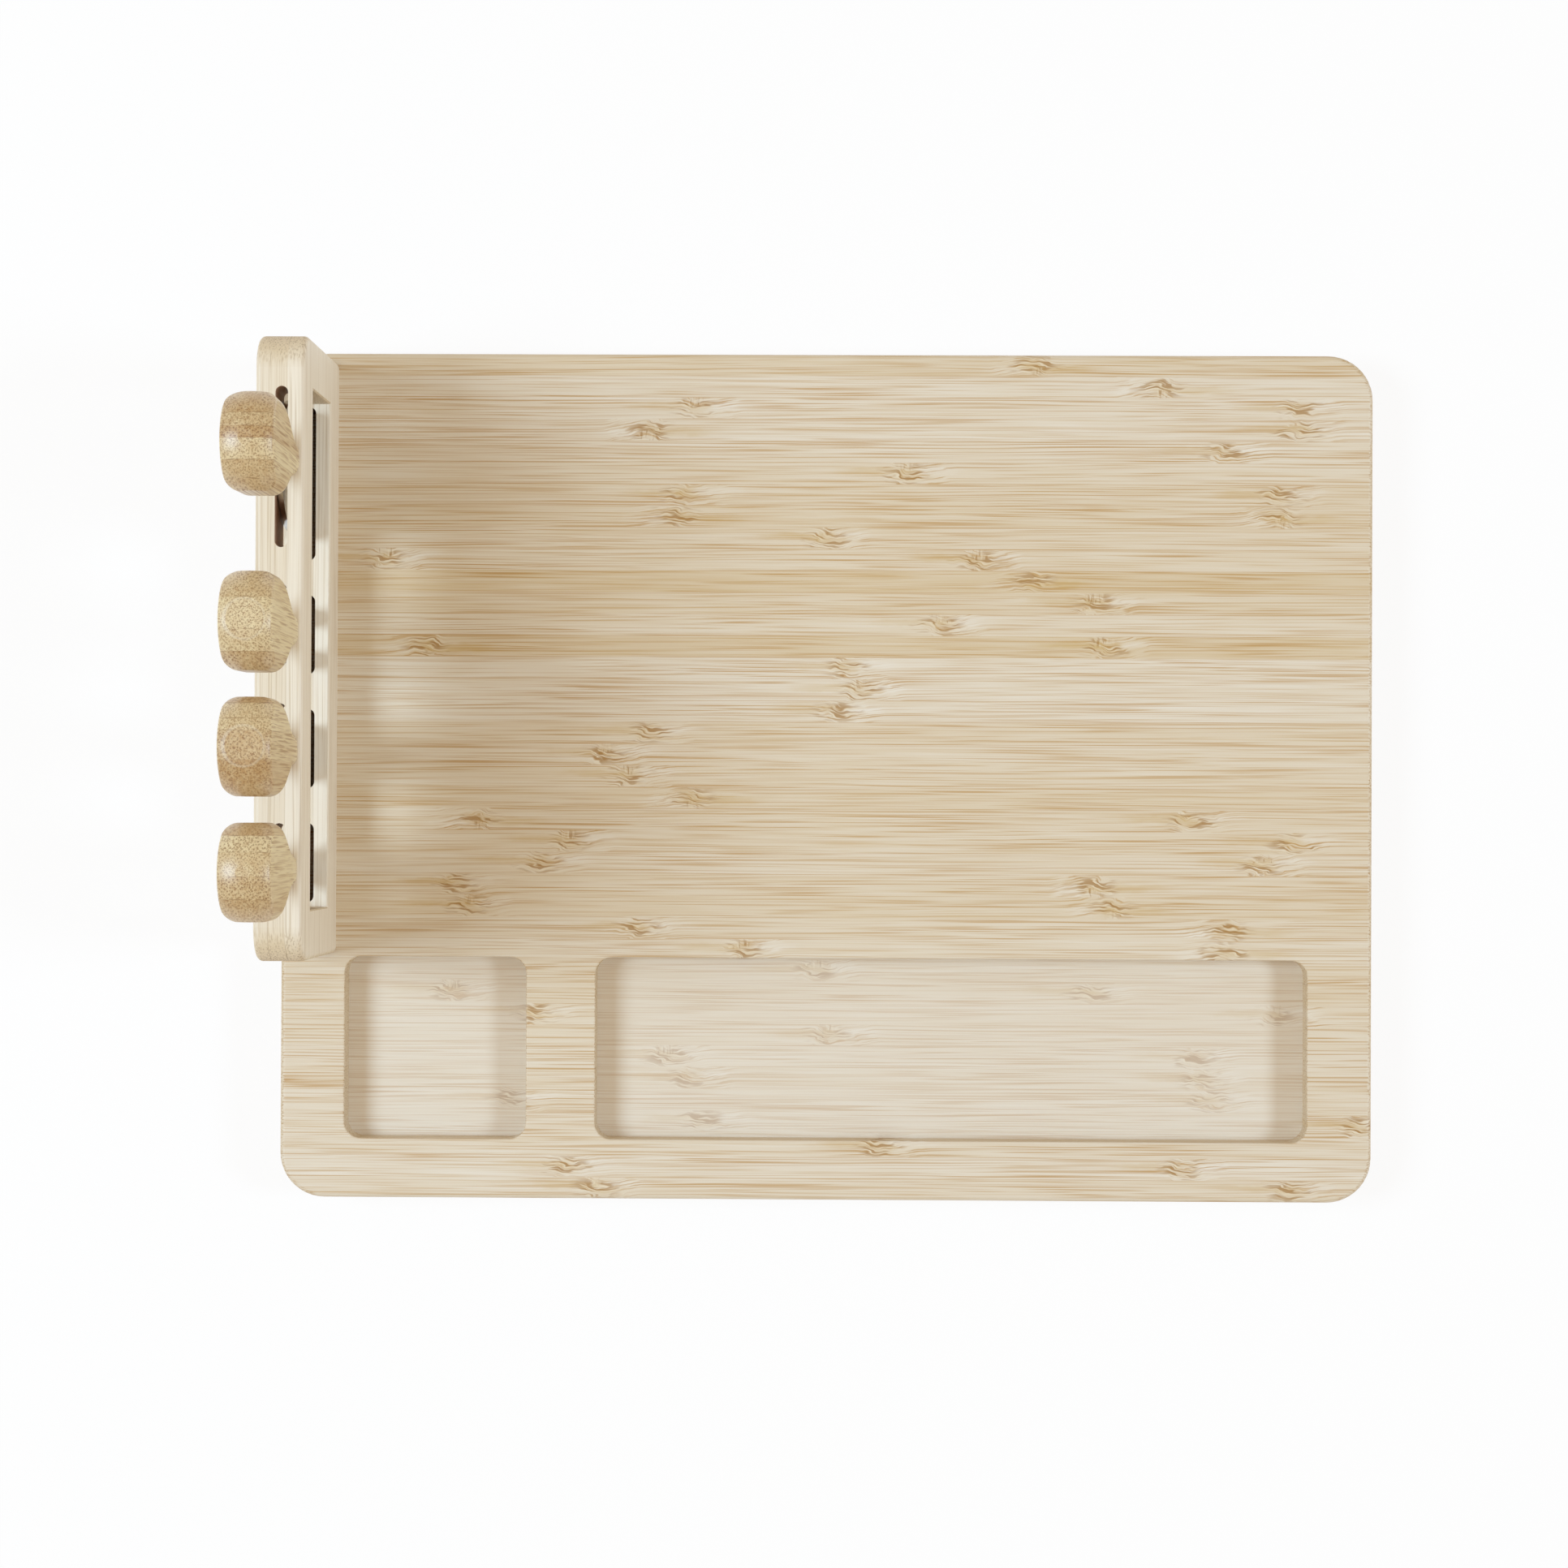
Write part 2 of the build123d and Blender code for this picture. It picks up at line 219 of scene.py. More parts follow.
@dataclass(frozen=True)
class Knuckles:
    """The culm's knuckles, where a strip has them: the fibres step to one side and come back slowly.

    Each is a burst of short wavy dark strokes over the strip's whole width, and beside each a pale stroke,
    which is a painted highlight on a slight rise in the relief. The bigger ones have a few short upright
    ticks of the bud's wood, dark and pale. A tan streak leads up to the burst, and a pale patch lies behind
    it.
    Rates are clouds per millimetre, along, across and through.
    """

    strokes: tuple[Stroke, ...]

    # How ragged the outlines are
    stray: Triple = (8.0, 2.2, 0.0)
    stray_rate: Triple = (0.17, 0.4, 0.4)

    # The step of the fibres: where it rises and falls along them, and how far it goes on each axis
    rise: Pair = (-4.5, 1.0)
    fall: Pair = (15.0, 1.5)
    step: Triple = (1.0, 1.2, 0.3)

    # The burst of wavy strokes
    burst: Pair = (9.5, 4.6)
    burst_core: float = 0.3
    wave: float = 2.6
    wave_rate: Triple = (0.2, 0.35, 0.35)
    stroke_rate: Triple = (1 / 7.0, 1 / 0.75, 0.5)
    stroke_edge: Pair = (0.51, 0.59)

    # The bud's upright ticks: where they show, and on knuckles of which size
    tick_rate: Triple = (1 / 0.7, 0.25, 0.25)
    bud_along: Pair = (2.6, 1.4)
    bud_over: Pair = (0.2, 1.0)
    bud_size: Pair = (1.15, 1.35)
    bud_most: float = 0.8

    # The middle, reach and tone of the tan streak, the pale patch and the burst's own tan
    tones: tuple[tuple[Pair, Pair, float], ...] = (
        ((-9.0, 0.7), (17.0, 1.8), 0.24),
        ((8.0, 1.0), (12.0, 2.0), -0.15),
        ((0.5, 0.0), (6.0, 3.6), 0.2),
    )
    tone_core: float = 0.2

    def draw(self, tree: Tree, spot: Socket, place: Socket) -> tuple[Socket, Socket, list[Socket]]:
        """Draws the knuckle nearest to the surface.

        Args:
            tree: The material's tree.
            spot: The place in millimetres on the grain's axes.
            place: The same, shifted strip by strip.

        Returns:
            The place with the fibres bent, the tone added there, and the share of each kind of stroke.
        """
        mark = add(tree, ATTRIBUTE, attribute_name="knuckle_at").node.outputs["Vector"]
        size = add(tree, SEPARATE, {0: mark}).node.outputs["Z"]
        side = add(tree, MATH, {0: size}, operation="SIGN")
        stray = mottle(tree, place, self.stray_rate, 2.0).node.outputs["Color"]
        stray = add(tree, VECTOR, {0: stray, 1: HALVES}, operation="SUBTRACT")
        away = add(tree, VECTOR, {0: spot, 1: mark}, operation="SUBTRACT")
        away = add(tree, VECTOR, {0: stray, 1: self.stray, 2: away}, operation="MULTIPLY_ADD")
        away = add(tree, VECTOR, {0: away, 1: side}, operation="MULTIPLY")
        parts = add(tree, SEPARATE, {0: away}).node.outputs
        along, over = parts["X"], parts["Y"]
        flat = add(tree, COMBINE, {"X": along, "Y": over})
        inside = oval(tree, flat, self.burst, self.burst_core)
        bent = self.bend(tree, place, along, size, inside)
        bud = self.bud(tree, along, over, size)
        tick = mottle(tree, place, self.tick_rate, 1.0)
        shares = []
        for stroke in self.strokes:
            fine = add(tree, VECTOR, {0: bent, 1: (0.0, stroke.shift, 0.0)}, operation="ADD")
            fine = mottle(tree, fine, self.stroke_rate, 1.0)
            fine = add(tree, RANGE, {"Value": fine, **between(self.stroke_edge)})
            upright = add(tree, RANGE, {"Value": tick, **between(stroke.ticks)})
            mixed = add(tree, MIX, {0: bud, "A": fine, "B": upright}, data_type="FLOAT")
            mixed = add(tree, MATH, {0: mixed, 1: inside}, operation="MULTIPLY")
            shares.append(add(tree, MATH, {0: mixed, 1: stroke.most}, operation="MULTIPLY"))
        tone: Socket | float = 0.0
        for middle, reach, most in self.tones:
            spread = add(tree, VECTOR, {0: flat, 1: (*middle, 0.0)}, operation="SUBTRACT")
            spread = oval(tree, spread, reach, self.tone_core, most)
            tone = add(tree, MATH, {0: spread, 1: tone}, operation="ADD")
        return bent, tone, shares

    def bend(self, tree: Tree, place: Socket, along: Socket, size: Socket, inside: Socket) -> Socket:
        """Bends the fibres round the knuckle.

        Args:
            tree: The material's tree.
            place: The place in millimetres on the grain's axes, shifted strip by strip.
            along: How far past the knuckle the surface lies.
            size: The knuckle's size, negative where it is turned round.
            inside: The burst's share.

        Returns:
            The place with the fibres bent.
        """
        rise, fall = (
            add(tree, RANGE, {"Value": along, **between(edge)}, interpolation_type="SMOOTHSTEP")
            for edge in (self.rise, self.fall)
        )
        dip = add(tree, MATH, {0: rise, 1: fall}, operation="MULTIPLY")
        dip = add(tree, MATH, {0: dip, 1: size}, operation="MULTIPLY")
        dip = add(tree, COMBINE, {"Y": dip, "Z": dip})
        bent = add(tree, VECTOR, {0: dip, 1: self.step, 2: place}, operation="MULTIPLY_ADD")
        wave = mottle(tree, place, self.wave_rate, 1.0)
        wave = add(tree, MATH, {0: wave, 1: HALF}, operation="SUBTRACT")
        wave = add(tree, MATH, {0: wave, 1: inside}, operation="MULTIPLY")
        wave = add(tree, COMBINE, {"Y": wave})
        return add(tree, VECTOR, {0: wave, 1: (0.0, self.wave, 0.0), 2: bent}, operation="MULTIPLY_ADD")

    def bud(self, tree: Tree, along: Socket, over: Socket, size: Socket) -> Socket:
        """Marks the bud's wood, on the upper side of the bigger knuckles.

        Args:
            tree: The material's tree.
            along: How far past the knuckle the surface lies.
            over: How far above its middle it lies.
            size: The knuckle's size, negative where it is turned round.

        Returns:
            The bud's share.
        """
        close = add(tree, MATH, {0: along}, operation="ABSOLUTE")
        close = add(tree, RANGE, {"Value": close, **between(self.bud_along)})
        upper = add(tree, RANGE, {"Value": over, **between(self.bud_over)})
        great = add(tree, MATH, {0: size}, operation="ABSOLUTE")
        great = add(tree, RANGE, {"Value": great, **between(self.bud_size), "To Max": self.bud_most})
        bud = add(tree, MATH, {0: close, 1: upper}, operation="MULTIPLY")
        return add(tree, MATH, {0: bud, 1: great}, operation="MULTIPLY")


@dataclass(frozen=True)
class Bamboo:
    """Laminated natural bamboo: strips of split culm glued side by side, planed, and oiled or lacquered.

    The culm's vascular bundles run through each strip like straws. A face along them shows long thin brown
    lines, and a face across them shows rows of dots, so both are cut from one solid pattern. Lengths are
    millimetres, rates are clouds per millimetre, heights are tenths of a millimetre, and tones run from 0
    for pale to 1 for tan.
    """

    name: str
    grain: Axis
    across: Axis
    pale: str
    tan: str
    fibre: str
    dot: str
    routed: str | None = None
    routed_share: float = 1.0
    knuckles: Knuckles | None = None

    # The bundles, and how they sway and crowd together
    bundle: float = 0.85
    bundle_radius: float = 0.17
    bundle_edge: Pair = (1.35, 0.55)
    bundle_turn: float = 0.7
    bundle_height: float = -0.6
    bundle_roughness: float = 0.12
    scatter: float = 0.75
    faintest: float = 0.1
    faint_share: float = 0.7
    line_width: float = 1.0
    line_strength: float = 0.78
    dot_strength: float = 0.75
    drift: float = 1.1
    drift_length: float = 120.0
    drift_rate: float = 0.09
    crowd_rate: Triple = (1 / 70.0, 1 / 4.5, 1 / 4.5)
    crowd_edge: Pair = (0.38, 0.6)
    crowd_least: float = 0.42
    plain_share: float = 0.0

    # The fine hairs between the bundles
    hair: float = 0.42
    hair_length: float = 42.0
    hair_edge: Pair = (0.53, 0.7)
    hair_strength: float = 0.7
    hair_tone: float = 0.58
    hair_height: float = -0.25

    # The tones inside a strip: narrow bands, broader patches, and more tan on an end face, which is the end
    # grain's own tone and, on the rack's ends, painted shade as well
    band_rate: Triple = (1 / 130.0, 1 / 1.3, 1 / 1.3)
    band_edge: Pair = (0.3, 0.7)
    band_strength: float = 0.07
    patch_rate: Triple = (1 / 22.0, 1 / 3.0, 1 / 3.0)
    patch_strength: float = 0.3
    end_grain_and_shade_tone: float = 0.15
    strip_shift: Triple = (53.7, 0.0, 3.13)

    # The glue joints
    seam_edge: Pair = (0.22, 0.05)
    seam_rate: Triple = (1 / 45.0, 0.01, 0.3)
    seam_chance: Pair = (0.48, 0.62)
    seam_strength: float = 0.75

    # The edge round the flat on a handle's end, drawn as a sunk line in the relief with a painted highlight
    # over it, and how squarely the flat faces out
    rim: str | None = None
    rim_highlight_share: float = 0.22
    rim_edge: Pair = (0.5, 0.1)
    rim_facing: Pair = (0.84, 0.9)
    rim_height: float = -8.0

    # The surface
    ior: float = 1.5
    roughness: float = 0.5
    coat: float = 0.0
    coat_roughness: float = 0.15
    bump: float = 0.25
    bump_unit: float = 0.1

    def build(self) -> bpy.types.Material:
        """Builds the material.

        Returns:
            The finished material.
        """
        material, tree = new_material(self.name)
        spot, place, facing = self.coordinates(tree)
        seam = self.seams(tree, spot, place)
        tone = add(tree, ATTRIBUTE, attribute_name="strip_tone").node.outputs["Fac"]
        # What lies over the wood, each by where it shows, how much of it counts and its colour
        coats: list[tuple[Socket, float, str]] = []
        heights: list[tuple[Socket, float]] = []
        if self.knuckles:
            place, streak, shares = self.knuckles.draw(tree, spot, place)
            tone = add(tree, MATH, {0: tone, 1: streak}, operation="ADD")
            coats += [(share, 1.0, stroke.colour) for share, stroke in zip(shares, self.knuckles.strokes)]
            heights += [(share, stroke.height) for share, stroke in zip(shares, self.knuckles.strokes)]
        if self.routed:
            cut_face = add(tree, ATTRIBUTE, attribute_name="routed").node.outputs["Fac"]
            coats.append((cut_face, self.routed_share, self.routed))
        # The flat's edge: a sunk line in the relief, and its pale colour is a painted highlight
        if self.rim:
            rim_and_highlight = self.rounded_rim_and_highlight(tree, spot, facing)
            coats.append((rim_and_highlight, self.rim_highlight_share, self.rim))
            heights.append((rim_and_highlight, self.rim_height))
        bundles, hairs, fine = self.fibres(tree, place, facing)
        hairs = add(tree, MATH, {0: hairs, 1: seam}, operation="MAXIMUM")
        heights += [(bundles, self.bundle_height), (hairs, self.hair_height)]
        tone = add(tree, MATH, {0: fine, 1: self.hair_tone, 2: tone}, operation="MULTIPLY_ADD")
        colour = self.colours(tree, place, tone, bundles, hairs, facing)
        for share, most, code in coats:
            share = add(tree, MATH, {0: share, 1: most}, operation="MULTIPLY")
            layers = {0: share, COLOUR_A: colour, COLOUR_B: linear(code)}
            colour = add(tree, MIX, layers, data_type="RGBA").node.outputs[MIXED]
        height: Socket | float = 0.0
        for share, rise in heights:
            height = add(tree, MATH, {0: share, 1: rise, 2: height}, operation="MULTIPLY_ADD")
        relief = {"Strength": self.bump, "Distance": self.bump_unit * MM, "Height": height}
        dull = {0: bundles, 1: self.bundle_roughness, 2: self.roughness}
        surface = {
            "Base Color": colour,
            "Roughness": add(tree, MATH, dull, operation="MULTIPLY_ADD"),
            "Normal": add(tree, "ShaderNodeBump", relief),
            "IOR": self.ior,
            "Coat Weight": self.coat,
            "Coat Roughness": self.coat_roughness,
            "Coat IOR": self.ior,
        }
        shader = add(tree, "ShaderNodeBsdfPrincipled", surface)
        add(tree, "ShaderNodeOutputMaterial", {"Surface": shader})
        return material

    def coordinates(self, tree: Tree) -> tuple[Socket, Socket, Socket]:
        """Lays the pattern's own axes on the piece: along the grain, across the strips, and the third one.

        Args:
            tree: The material's tree.

        Returns:
            The place in millimetres on those axes, the same shifted strip by strip, and how squarely the
            surface cuts across the grain, from 0 to 1.
        """
        source = add(tree, "ShaderNodeTexCoord").node.outputs
        third = sum(axis.value for axis in Axis) - self.grain.value - self.across.value
        order = (self.grain.value, self.across.value, third)
        spot = add(tree, VECTOR, {0: source["Object"], "Scale": 1 / MM}, operation="SCALE")
        parts = add(tree, SEPARATE, {0: spot}).node.outputs
        turned = add(tree, COMBINE, {i: parts[k] for i, k in enumerate(order)})
        seed = add(tree, ATTRIBUTE, attribute_name="strip_seed").node.outputs["Fac"]
        shift = add(tree, VECTOR, {0: self.strip_shift, "Scale": seed}, operation="SCALE")
        place = add(tree, VECTOR, {0: turned, 1: shift}, operation="ADD")
        normal = add(tree, SEPARATE, {0: source["Normal"]}).node.outputs
        facing = add(tree, MATH, {0: normal[self.grain.value]}, operation="ABSOLUTE")
        return turned, place, facing

    def rounded_rim_and_highlight(self, tree: Tree, spot: Socket, facing: Socket) -> Socket:
        """Draws the edge of the flat on a handle's end: a sunk line in the relief, and a paler colour there
        that is a painted highlight.

        Args:
            tree: The material's tree.
            spot: The place in millimetres on the grain's axes.
            facing: How squarely the surface cuts across the grain.

        Returns:
            The edge's share.
        """
        given = add(tree, ATTRIBUTE, attribute_name="end_flat").node.outputs["Vector"]
        radius = add(tree, SEPARATE, {0: given}).node.outputs["X"]
        away = add(tree, VECTOR, {0: spot, 1: given}, operation="SUBTRACT")
        away = add(tree, VECTOR, {0: away, 1: (0.0, 1.0, 1.0)}, operation="MULTIPLY")
        away = add(tree, VECTOR, {0: away}, operation="LENGTH").node.outputs["Value"]
        away = add(tree, MATH, {0: away, 1: radius}, operation="SUBTRACT")
        away = add(tree, MATH, {0: away}, operation="ABSOLUTE")
        line, level = (
            add(tree, RANGE, {"Value": value, **between(edge)})
            for value, edge in ((away, self.rim_edge), (facing, self.rim_facing))
        )
        return add(tree, MATH, {0: line, 1: level}, operation="MULTIPLY")

    def seams(self, tree: Tree, spot: Socket, place: Socket) -> Socket:
        """Draws the glue joints: hair-thin darker lines that come and go along the strips' edges.

        Args:
            tree: The material's tree.
            spot: The place in millimetres on the grain's axes.
            place: The same, shifted strip by strip.

        Returns:
            The lines' share.
        """
        given = add(tree, ATTRIBUTE, attribute_name="strip_edges").node.outputs["Vector"]
        edges = add(tree, SEPARATE, {0: given}).node.outputs
        over = add(tree, SEPARATE, {0: spot}).node.outputs["Y"]
        low = add(tree, MATH, {0: over, 1: edges["X"]}, operation="SUBTRACT")
        high = add(tree, MATH, {0: edges["Y"], 1: over}, operation="SUBTRACT")
        gap = add(tree, MATH, {0: low, 1: high}, operation="MINIMUM")
        line = add(tree, RANGE, {"Value": gap, **between(self.seam_edge)})
        chance = mottle(tree, place, self.seam_rate, 1.0)
        shown = {"Value": chance, **between(self.seam_chance), "To Max": self.seam_strength}
        return add(tree, MATH, {0: line, 1: add(tree, RANGE, shown)}, operation="MULTIPLY")

    def fibres(self, tree: Tree, place: Socket, facing: Socket) -> tuple[Socket, Socket, Socket]:
        """Runs the bundles through the wood: lines on a face along them, dots on a face across them.

        The real lines are a third of a millimetre wide, and the dots on a handle's end are 0.85 mm apart.
        The lines are drawn a little wider and those dots 1.12 mm apart, so that they show in the render.

        Args:
            tree: The material's tree.
            place: The place in millimetres on the grain's axes.
            facing: How squarely the surface cuts across the grain.

        Returns:
            The share of the bundles' dark colour, that of the fine hairs between them, and the hairs' noise
            about 0, which makes the wood between them paler or more tan.
        """
        drift = mottle(tree, place, (1 / self.drift_length, self.drift_rate, self.drift_rate), 2.0)
        drift = add(tree, VECTOR, {0: drift.node.outputs["Color"], 1: HALVES}, operation="SUBTRACT")
        sway = (0.0, self.drift / HALF, self.drift / HALF)
        swayed = add(tree, VECTOR, {0: drift, 1: sway, 2: place}, operation="MULTIPLY_ADD")
        parts = add(tree, SEPARATE, {0: swayed}).node.outputs
        flat = add(tree, COMBINE, {"X": parts["Y"], "Y": parts["Z"]})
        turned = {"Vector": flat, "Angle": self.bundle_turn}
        flat = add(tree, "ShaderNodeVectorRotate", turned, rotation_type="Z_AXIS")
        spread = {"Vector": flat, "Scale": 1 / self.bundle, "Randomness": self.scatter}
        cells = add(tree, "ShaderNodeTexVoronoi", spread, voronoi_dimensions="2D").node.outputs
        wide = add(tree, RANGE, {"Value": facing, "To Min": self.line_width, "To Max": 1.0})
        core = self.bundle_radius / self.bundle
        outer, inner = (
            add(tree, MATH, {0: wide, 1: core * share}, operation="MULTIPLY") for share in self.bundle_edge
        )
        edge = {"Value": cells["Distance"], "From Min": outer, "From Max": inner}
        bundles = add(tree, RANGE, edge, interpolation_type="SMOOTHSTEP")
        chance = add(tree, "ShaderNodeSeparateColor", {0: cells["Color"]})
        deep = add(tree, RANGE, {"Value": chance, "From Max": self.faint_share, "To Min": self.faintest})
        strength = {"Value": facing, "To Min": self.line_strength, "To Max": self.dot_strength}
        level = add(tree, RANGE, strength)
        crowd = mottle(tree, place, self.crowd_rate, 1.0)
        crowd = add(tree, RANGE, {"Value": crowd, **between(self.crowd_edge), "To Min": self.crowd_least})
        crowd = add(tree, MATH, {0: crowd, 1: facing}, operation="MAXIMUM")
        seed = add(tree, ATTRIBUTE, attribute_name="strip_seed").node.outputs["Fac"]
        plain = add(tree, "ShaderNodeTexWhiteNoise", {"W": seed}, noise_dimensions="1D")
        plain = add(tree, RANGE, {"Value": plain, "To Min": 1 - self.plain_share})
        for factor in (deep, level, crowd, plain):
            bundles = add(tree, MATH, {0: bundles, 1: factor}, operation="MULTIPLY")
        noise = mottle(tree, swayed, (1 / self.hair_length, 1 / self.hair, 1 / self.hair), 1.0)
        signed = add(tree, MATH, {0: noise, 1: HALF}, operation="SUBTRACT")
        hairs = add(tree, RANGE, {"Value": noise, **between(self.hair_edge), "To Max": self.hair_strength})
        hairs = add(tree, MATH, {0: hairs, 1: crowd}, operation="MULTIPLY")
        return bundles, hairs, signed

    def colours(
        self, tree: Tree, place: Socket, tone: Socket, bundles: Socket, hairs: Socket, facing: Socket
    ) -> Socket:
        """Mixes the wood's colours: each strip's own tone, soft bands inside it, and the fibres.

        Args:
            tree: The material's tree.
            place: The place in millimetres on the grain's axes.
            tone: The strip's tone, from 0 for pale to 1 for tan.
            bundles: The bundles' share.
            hairs: The fine hairs' share.
            facing: How squarely the surface cuts across the grain.

        Returns:
            The wood's colour.
        """
        noise = mottle(tree, place, self.band_rate, 3.0)
        swing = {"To Min": -self.band_strength, "To Max": self.band_strength}
        bands = add(tree, RANGE, {"Value": noise, **between(self.band_edge), **swing})
        patch = mottle(tree, place, self.patch_rate, 2.0)
        patch = add(tree, MATH, {0: patch, 1: HALF}, operation="SUBTRACT")
        for share, strength in ((patch, self.patch_strength), (facing, self.end_grain_and_shade_tone)):
            bands = add(tree, MATH, {0: share, 1: strength, 2: bands}, operation="MULTIPLY_ADD")
        amount = add(tree, MATH, {0: tone, 1: bands}, operation="ADD", use_clamp=True)
        lines = add(tree, MATH, {0: bundles, 1: hairs}, operation="MAXIMUM")
        wood, dark = (
            add(tree, MIX, {0: share, COLOUR_A: linear(a), COLOUR_B: linear(b)}, data_type="RGBA")
            for share, a, b in ((amount, self.pale, self.tan), (facing, self.fibre, self.dot))
        )
        layers = {0: lines, COLOUR_A: wood.node.outputs[MIXED], COLOUR_B: dark.node.outputs[MIXED]}
        return add(tree, MIX, layers, data_type="RGBA").node.outputs[MIXED]


@dataclass(frozen=True)
class Steel:
    """Steel: its colour, its gloss, and how long the marks are that its making left along each axis."""

    name: str
    colour: str
    roughness: float
    marks: Triple
    bump: float
    bump_unit: float = 0.02
    mark_edge: Pair = (0.3, 0.7)
    spread: Pair = (0.8, 1.25)

    def build(self) -> bpy.types.Material:
        """Builds the material.

        Returns:
            The finished material.
        """
        material, tree = new_material(self.name)
        spot = add(tree, "ShaderNodeTexCoord").node.outputs["Object"]
        ground = mottle(tree, spot, tuple(1 / (v * MM) for v in self.marks), 3.0)
        least, most = (self.roughness * share for share in self.spread)
        gloss = {"Value": ground, **between(self.mark_edge), "To Min": least, "To Max": most}
        relief = {"Strength": self.bump, "Distance": self.bump_unit * MM, "Height": ground}
        surface = {
            "Base Color": linear(self.colour),
            "Metallic": 1.0,
            "Roughness": add(tree, RANGE, gloss),
            "Normal": add(tree, "ShaderNodeBump", relief),
        }
        shader = add(tree, "ShaderNodeBsdfPrincipled", surface)
        add(tree, "ShaderNodeOutputMaterial", {"Surface": shader})
        return material


@dataclass(frozen=True)
class Strips:
    """How a piece is glued up of strips: where they meet, how tan each is, and where its knuckles are.

    A knuckle is its strip's index, its place along the grain, and its size, which is negative where the
    knuckle is turned round.
    """

    across: Axis
    grain: Axis
    joints: Numbers
    tones: Numbers
    knuckles: tuple[tuple[int, float, float], ...] = ()
    first_seed: int = 0
    outer_half: float = 3.0

    def middle(self, index: int) -> float:
        """Finds the middle of a strip, where an outer strip counts as full.

        Args:
            index: Which strip, counted from the highest place down.

        Returns:
            Its middle in millimetres.
        """
        if index == 0:
            return self.joints[0] + self.outer_half
        if index == len(self.joints):
            return self.joints[-1] - self.outer_half
        return (self.joints[index - 1] + self.joints[index]) / 2

    def edges(self, index: int) -> Pair:
        """Returns a strip's lower and upper edge in millimetres; an outer edge is put far away."""
        reach = (FAR, *self.joints, -FAR)
        return reach[index + 1], reach[index]

    def index_at(self, place: float) -> int:
        """Returns the index of the strip at a place in millimetres, counted from the highest place down."""
        return sum(1 for joint in self.joints if place < joint)


@dataclass
class WoodPiece:
    """A piece of laminated bamboo, made from its CAD node: merged, cut at its glue joints and marked.

    The flat on its end, where it has one, is its radius and its middle across the grain.
    """

    node: str
    name: str
    body: str
    slot: str
    strips: Strips
    finish: bpy.types.Material
    is_routed: Callable[[Vector, Vector], bool] | None = None
    end_flat: Triple = (-FAR, 0.0, 0.0)

    def build(self) -> None:
        """Builds the piece, on its body and in its node's place."""
        mesh = cad_mesh(self.node, self.name, self.cut_and_mark)
        mesh.materials.append(self.finish)
        piece = new_object(self.name, mesh)
        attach(piece, self.body)
        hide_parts(self.node)
        LOG.info("%s: %d faces in %d strips", self.name, len(mesh.polygons), len(self.strips.tones))

    def cut_and_mark(self, shape: bmesh.types.BMesh) -> None:
        """Cuts the mesh at the glue joints and writes each face's strip, tone and nearest knuckle.

        Args:
            shape: The piece's merged mesh, changed in place.
        """
        strips = self.strips
        across, grain = strips.across.value, strips.grain.value
        side, down = Vector((0, 0, 0)), Vector((0, 0, 0))
        side[across] = 1.0
        down[grain] = 1.0
        for joint in strips.joints:
            cut(shape, shape.faces[:], side * joint * MM, side)
        for index in sorted({k[0] for k in strips.knuckles}):
            spots = sorted(k[1] for k in strips.knuckles if k[0] == index)
            for left, right in zip(spots, spots[1:]):
                centres = {f: f.calc_center_median()[across] / MM for f in shape.faces}
                own = [f for f, centre in centres.items() if strips.index_at(centre) == index]
                cut(shape, own, down * (left + right) / 2 * MM, down)
        layers = shape.faces.layers
        tone, seed, routed = (layers.float.new(n) for n in ("strip_tone", "strip_seed", "routed"))
        edges, near, flat = (layers.float_vector.new(n) for n in ("strip_edges", "knuckle_at", "end_flat"))
        for face in shape.faces:
            middle = face.calc_center_median()
            index = strips.index_at(middle[across] / MM)
            face[tone] = strips.tones[index]
            face[seed] = float(index + strips.first_seed)
            face[edges] = Vector((*strips.edges(index), 0.0))
            face[flat] = Vector(self.end_flat)
            face[routed] = float(bool(self.is_routed and self.is_routed(middle / MM, face.normal)))
            spots = [k for k in strips.knuckles if k[0] == index]
            nearest = min(spots, key=lambda k: abs(k[1] - middle[grain] / MM), default=(index, FAR, 1.0))
            face[near] = Vector((nearest[1], strips.middle(index), nearest[2]))


def cut(shape: bmesh.types.BMesh, faces: list, point: Vector, normal: Vector) -> None:
    """Cuts some of a mesh's faces along a plane, and removes nothing.

    Args:
        shape: The mesh, changed in place.
        faces: The faces to cut.
        point: A point of the plane, in metres.
        normal: The plane's normal.
    """
    edges = list({e for f in faces for e in f.edges})
    verts = list({v for f in faces for v in f.verts})
    parts = verts + edges + faces
    bmesh.ops.bisect_plane(shape, geom=parts, dist=ON_PLANE, plane_co=point, plane_no=normal)


